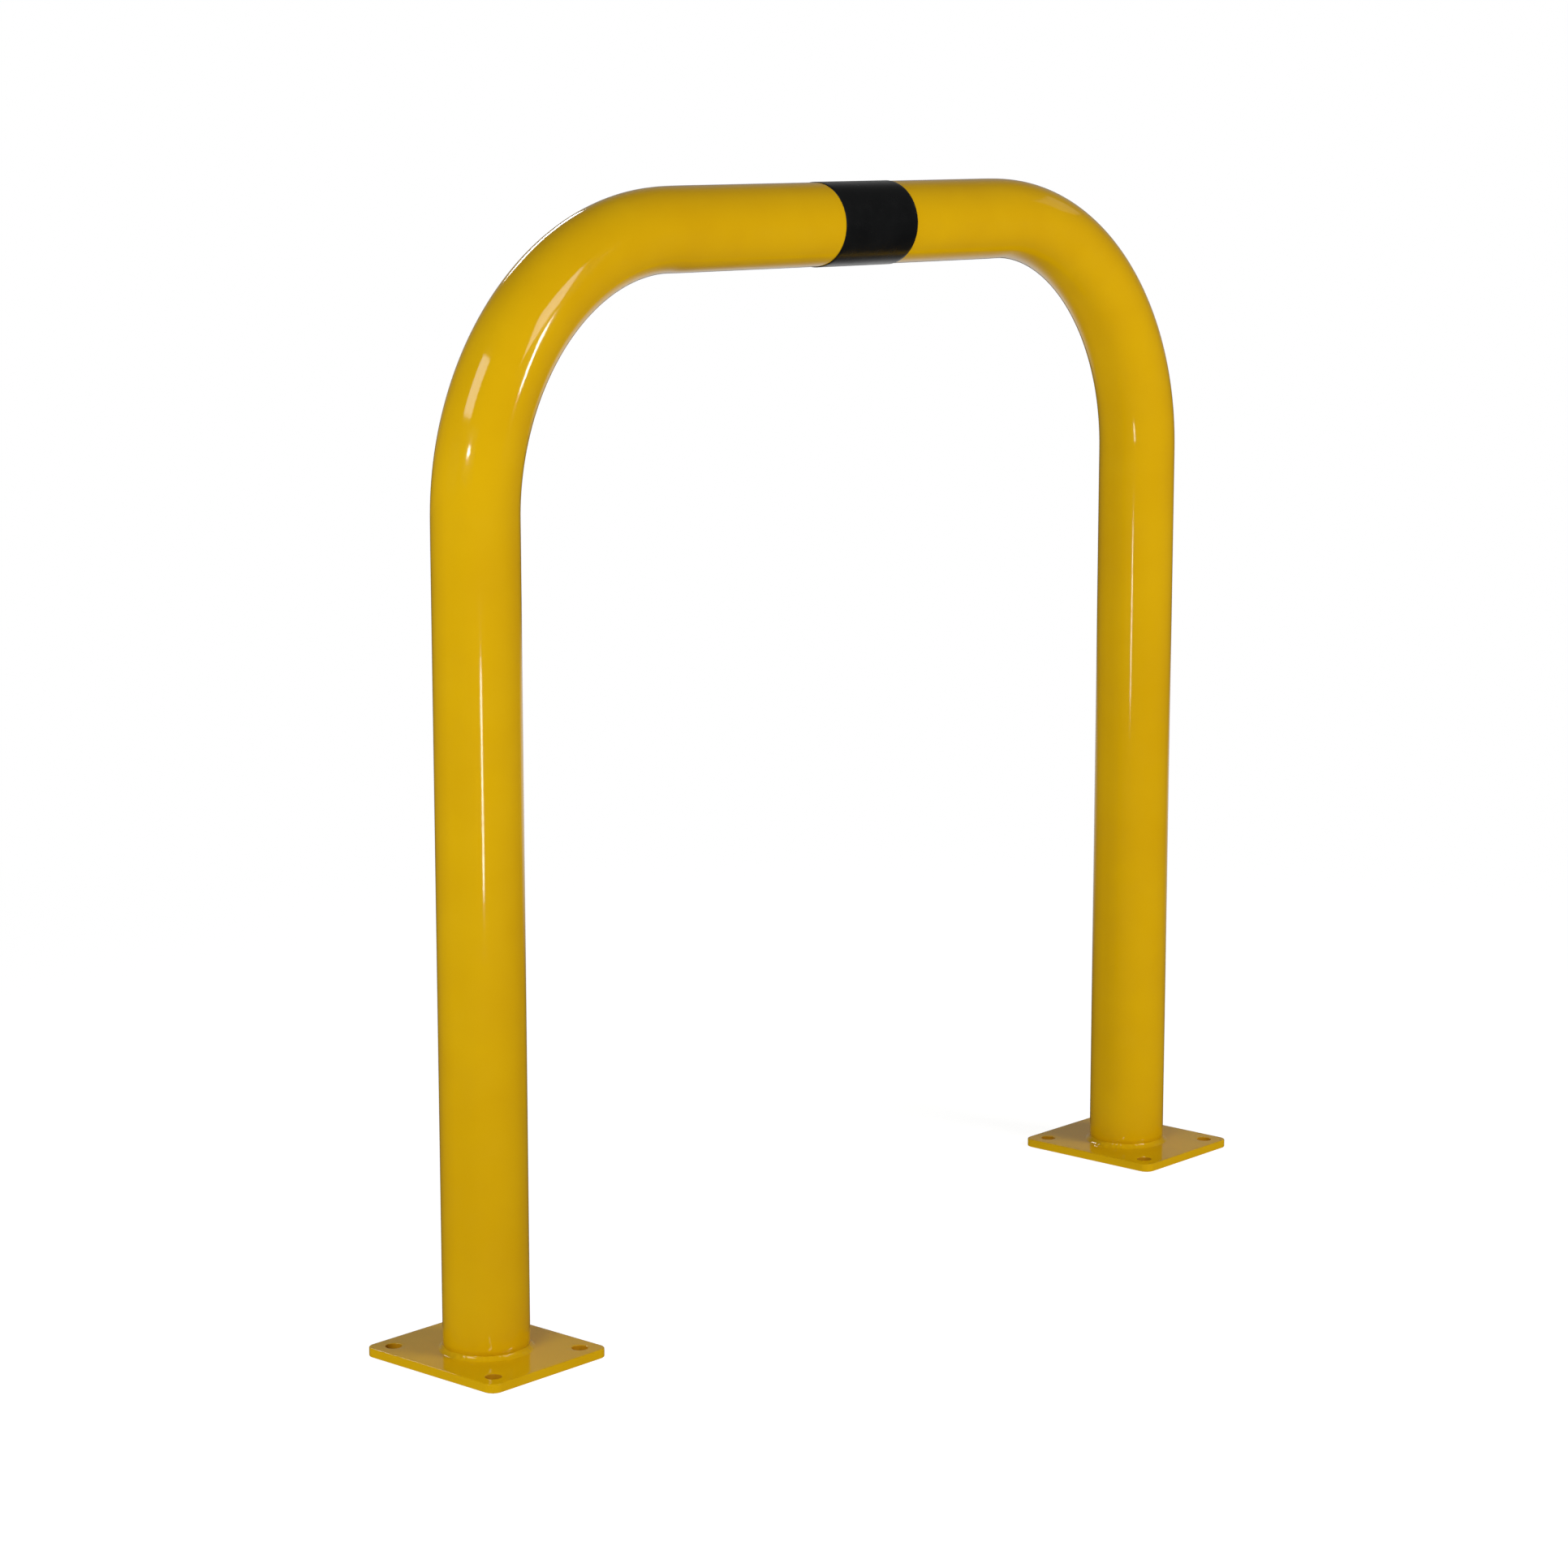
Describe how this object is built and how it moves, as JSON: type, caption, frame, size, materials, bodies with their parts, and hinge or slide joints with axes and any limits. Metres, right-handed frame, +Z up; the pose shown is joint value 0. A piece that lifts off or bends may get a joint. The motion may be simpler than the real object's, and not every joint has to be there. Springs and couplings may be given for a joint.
{
  "type": "steel hoop guard",
  "caption": "Floor-mounted hoop guard: one bent steel tube standing on flat base plates with anchor holes, with a black marking band round its crossbar.",
  "frame": {"origin": "floor level, midway between the two legs, on the underside of the base plates", "axes": "+X along the crossbar from the left leg to the right leg, +Z up, +Y across the hoop"},
  "size_m": [1.064, 0.16, 1.0005],
  "materials": {
    "yellow_coat": "glossy powder coat, traffic yellow",
    "black_film": "glossy black marking film"
  },
  "bodies": {
    "root": {"hoop_tube": "yellow_coat", "left_base_plate": "yellow_coat", "right_base_plate": "yellow_coat", "left_foot_weld": "yellow_coat", "right_foot_weld": "yellow_coat", "marking_band": "black_film"}
  },
  "joints": []
}
